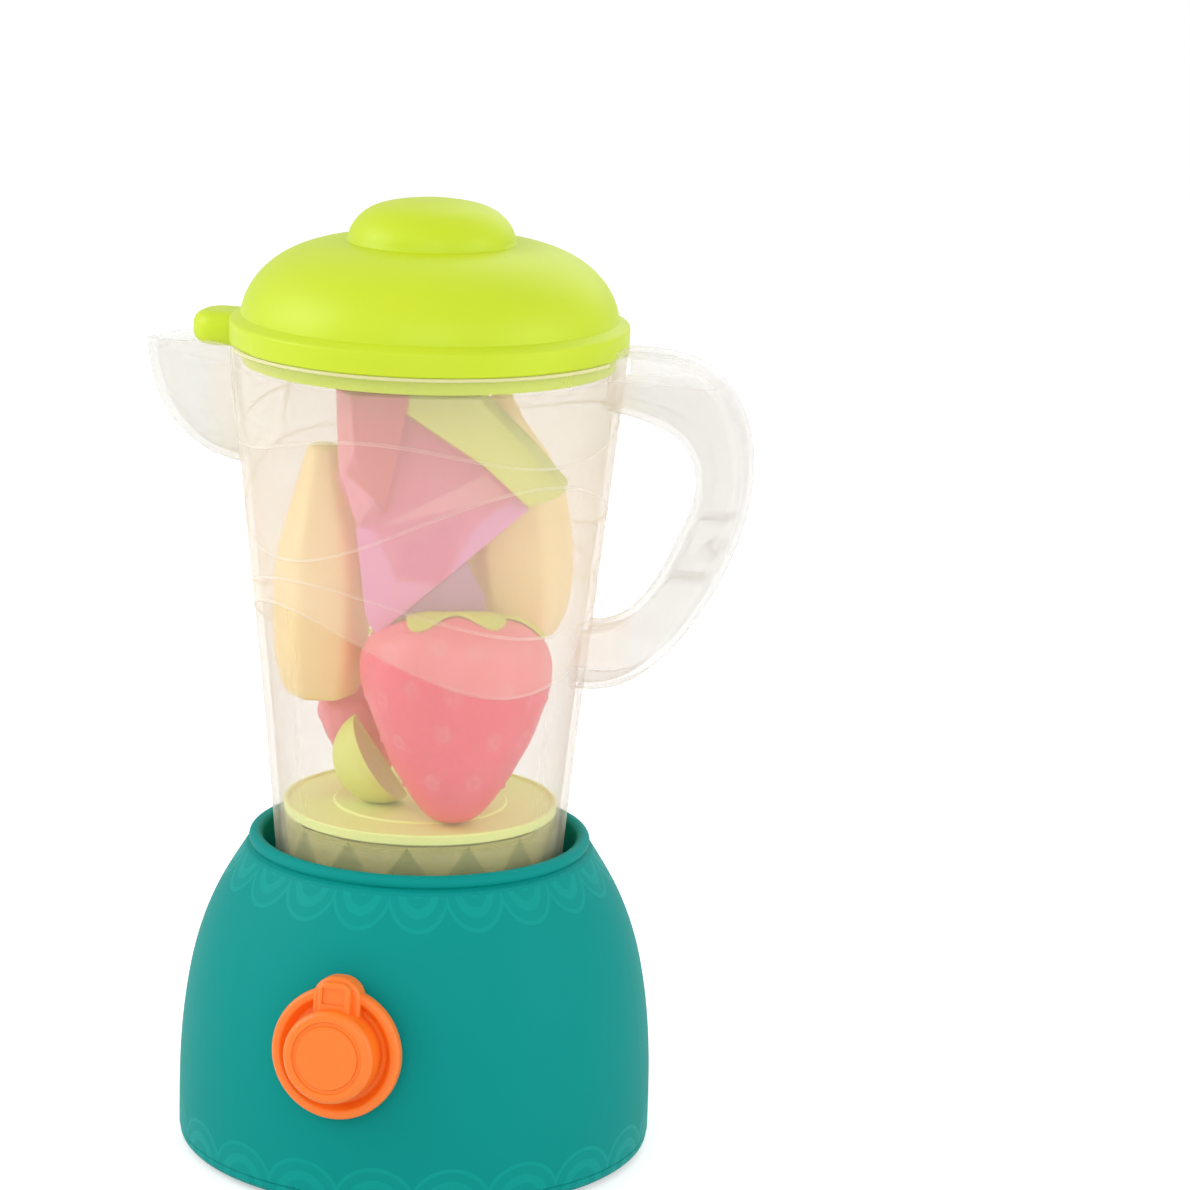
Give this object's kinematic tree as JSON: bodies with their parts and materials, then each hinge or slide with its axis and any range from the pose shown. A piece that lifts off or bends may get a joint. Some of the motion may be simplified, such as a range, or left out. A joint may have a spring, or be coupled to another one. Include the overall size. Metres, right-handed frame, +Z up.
{
  "type": "toy blender",
  "caption": "Toy countertop blender: a press-down jug with lid, spout and handle on a round base; pushing the lid spins the toy fruit inside, and a front dial clicks round.",
  "frame": {"origin": "on the table, under the middle of the round base", "axes": "+Z up along the turning axis of base, jug and lid; -Y towards the front, where the dial is; +X towards the jug's handle, -X towards its spout"},
  "size_m": [0.1817, 0.1514, 0.2804],
  "materials": {
    "base_plastic": "moulded ABS, satin gloss teal",
    "foot_rubber": "moulded thermoplastic rubber, matte",
    "screw_steel": "zinc plated",
    "spring_steel": "drawn spring steel",
    "natural_plastic": "natural acetal, unpainted",
    "table_plastic": "moulded ABS, lime",
    "jug_plastic": "translucent polypropylene, frosted",
    "lid_plastic": "moulded ABS, lime, satin",
    "dial_plastic": "moulded ABS, orange, satin gloss",
    "strawberry_red": "moulded, satin",
    "leaf_green": "moulded, satin",
    "mango_orange": "moulded, satin",
    "watermelon_red": "moulded, satin",
    "melon_green": "moulded, satin",
    "dragonfruit_pink": "moulded, satin",
    "plum_purple": "moulded, satin",
    "lime_green": "moulded, satin",
    "raspberry_red": "moulded, satin"
  },
  "bodies": {
    "base": {"base_shell": "base_plastic", "base_plate": "base_plastic", "rubber_feet": "foot_rubber", "plate_screws": "screw_steel", "twist_spindle": "natural_plastic", "spindle_screw": "screw_steel", "return_spring": "spring_steel", "click_spring": "spring_steel"},
    "carriage": {"press_carriage": "base_plastic", "bearing_washer": "natural_plastic"},
    "drive": {"drive_hub": "natural_plastic", "hub_clip": "spring_steel"},
    "jug": {"jug_body": "jug_plastic", "handle_cover": "jug_plastic"},
    "turntable": {"turntable": "table_plastic", "turntable_clip": "spring_steel", "strawberry": "strawberry_red", "strawberry_leaves": "leaf_green", "mango_left": "mango_orange", "mango_right": "mango_orange", "watermelon_wedge": "watermelon_red", "melon_wedge": "melon_green", "dragonfruit_chunk": "dragonfruit_pink", "plum_wedge": "plum_purple", "lime_wedge": "lime_green", "raspberry": "raspberry_red"},
    "lid": {"lid_shell": "lid_plastic"},
    "dial": {"dial_knob": "dial_plastic", "click_wheel": "natural_plastic", "dial_screw": "screw_steel"}
  },
  "joints": [
    {"name": "press", "type": "slide", "parent": "base", "child": "carriage", "axis": [0, 0, -1], "range_m": [0, 0.014], "stiffness_N_per_m": 600, "springref_m": -0.02, "deforming": ["return_spring"]},
    {"name": "hub_spin", "type": "hinge", "parent": "carriage", "child": "drive", "pos_m": [0, 0, 0.075], "axis": [0, 0, -1], "range_deg": [0, 170]},
    {"name": "jug_lift", "type": "slide", "parent": "carriage", "child": "jug", "axis": [0, 0, 1], "range_m": [0, 0.07]},
    {"name": "turntable_spin", "type": "hinge", "parent": "jug", "child": "turntable", "pos_m": [0, 0, 0.09], "axis": [0, 0, -1], "range_deg": [0, 170]},
    {"name": "lid_lift", "type": "slide", "parent": "jug", "child": "lid", "axis": [0, 0, 1], "range_m": [0, 0.05]},
    {"name": "dial_turn", "type": "hinge", "parent": "base", "child": "dial", "pos_m": [0, -0.0675, 0.048], "axis": [0, -0.9936, 0.1132], "continuous": true}
  ],
  "couplings": [
    {"joint": "hub_spin", "follows": "press", "rad_per_m": 209.44},
    {"joint": "turntable_spin", "follows": "press", "rad_per_m": 209.44}
  ]
}
